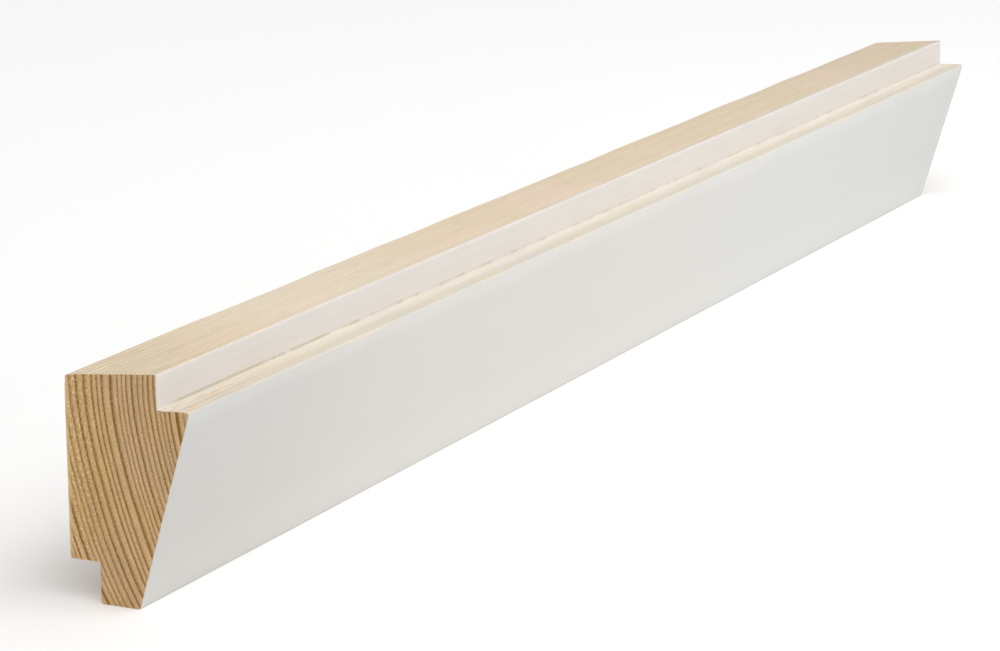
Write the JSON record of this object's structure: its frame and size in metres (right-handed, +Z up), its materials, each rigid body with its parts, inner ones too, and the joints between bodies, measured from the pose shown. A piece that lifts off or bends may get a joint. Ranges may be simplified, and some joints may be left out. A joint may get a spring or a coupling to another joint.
{
  "type": "ceiling moulding",
  "caption": "Solid pine ceiling moulding, square cut, with a front leaning in to a narrow foot, a shallow step under the ceiling and a rebate behind the foot.",
  "frame": {"origin": "middle of the underside of the bounding box, level with the foot's underside", "axes": "+X along the length, +Y towards the wall that the back lies on, -Y is the painted front, +Z up"},
  "size_m": [0.525, 0.0328, 0.056],
  "materials": {
    "painted_pine": "off-white satin paint on the front, the step and the foot's underside, bare planed pine on the top, ledge, back and rebate, sawn end grain"
  },
  "bodies": {
    "root": {"moulding": "painted_pine"}
  },
  "joints": []
}
